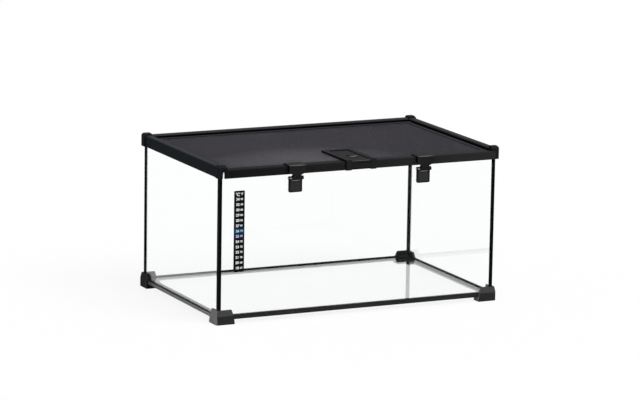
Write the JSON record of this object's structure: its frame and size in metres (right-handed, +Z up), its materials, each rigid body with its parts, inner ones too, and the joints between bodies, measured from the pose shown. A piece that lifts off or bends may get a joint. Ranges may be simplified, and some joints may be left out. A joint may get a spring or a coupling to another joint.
{
  "type": "reptile terrarium",
  "caption": "Glass terrarium in push-fit plastic rails with corner feet, a hinged screen lid, a sliding feeding port, flip latches and a thermometer strip.",
  "frame": {"origin": "centre of the overall box in plan, on the plane that the feet stand on", "axes": "+X to the right along the front, +Y from the front to the back, +Z up"},
  "size_m": [0.508, 0.331, 0.2615],
  "materials": {
    "clear_glass": "clear float glass, polished edges",
    "frame_plastic": "fine-grained black moulded plastic",
    "fitting_plastic": "satin black moulded plastic",
    "seal_black": "glossy black extruded strip",
    "screen_wire": "black coated woven wire",
    "steel_pin": "drawn steel wire",
    "strip_film": "printed liquid-crystal film"
  },
  "bodies": {
    "tank": {"base_glass": "clear_glass", "front_glass": "clear_glass", "rear_glass": "clear_glass", "left_glass": "clear_glass", "right_glass": "clear_glass", "front_left_corner_strip": "seal_black", "front_right_corner_strip": "seal_black", "rear_left_corner_strip": "seal_black", "rear_right_corner_strip": "seal_black", "front_bottom_rail": "frame_plastic", "rear_bottom_rail": "frame_plastic", "left_bottom_rail": "frame_plastic", "right_bottom_rail": "frame_plastic", "front_left_foot": "frame_plastic", "front_right_foot": "frame_plastic", "rear_left_foot": "frame_plastic", "rear_right_foot": "frame_plastic", "left_top_rail": "frame_plastic", "right_top_rail": "frame_plastic", "rear_top_rail": "frame_plastic", "front_left_top_corner": "frame_plastic", "front_right_top_corner": "frame_plastic", "rear_left_top_corner": "frame_plastic", "rear_right_top_corner": "frame_plastic", "thermometer_strip": "strip_film"},
    "lid": {"lid_front_bar": "frame_plastic", "lid_rear_bar": "frame_plastic", "lid_left_bar": "frame_plastic", "lid_right_bar": "frame_plastic", "screen_mesh": "screen_wire", "screen_retainer": "frame_plastic", "hinge_pins": "steel_pin", "port_frame": "fitting_plastic", "left_latch_bracket": "fitting_plastic", "right_latch_bracket": "fitting_plastic", "latch_pins": "steel_pin"},
    "port_slider": {"port_slider": "fitting_plastic"},
    "left_latch_tab": {"left_latch_tab": "fitting_plastic"},
    "right_latch_tab": {"right_latch_tab": "fitting_plastic"}
  },
  "joints": [
    {"name": "lid_hinge", "type": "hinge", "parent": "tank", "child": "lid", "pos_m": [0, 0.1435, 0.2505], "axis": [-1, 0, 0], "range_deg": [0, 105]},
    {"name": "port_slide", "type": "slide", "parent": "lid", "child": "port_slider", "axis": [0, -1, 0], "range_m": [0, 0.06]},
    {"name": "left_latch_flip", "type": "hinge", "parent": "lid", "child": "left_latch_tab", "pos_m": [-0.11885, -0.1583, 0.2336], "axis": [-1, 0, 0], "range_deg": [0, 90]},
    {"name": "right_latch_flip", "type": "hinge", "parent": "lid", "child": "right_latch_tab", "pos_m": [0.11165, -0.1583, 0.2336], "axis": [-1, 0, 0], "range_deg": [0, 90]}
  ]
}
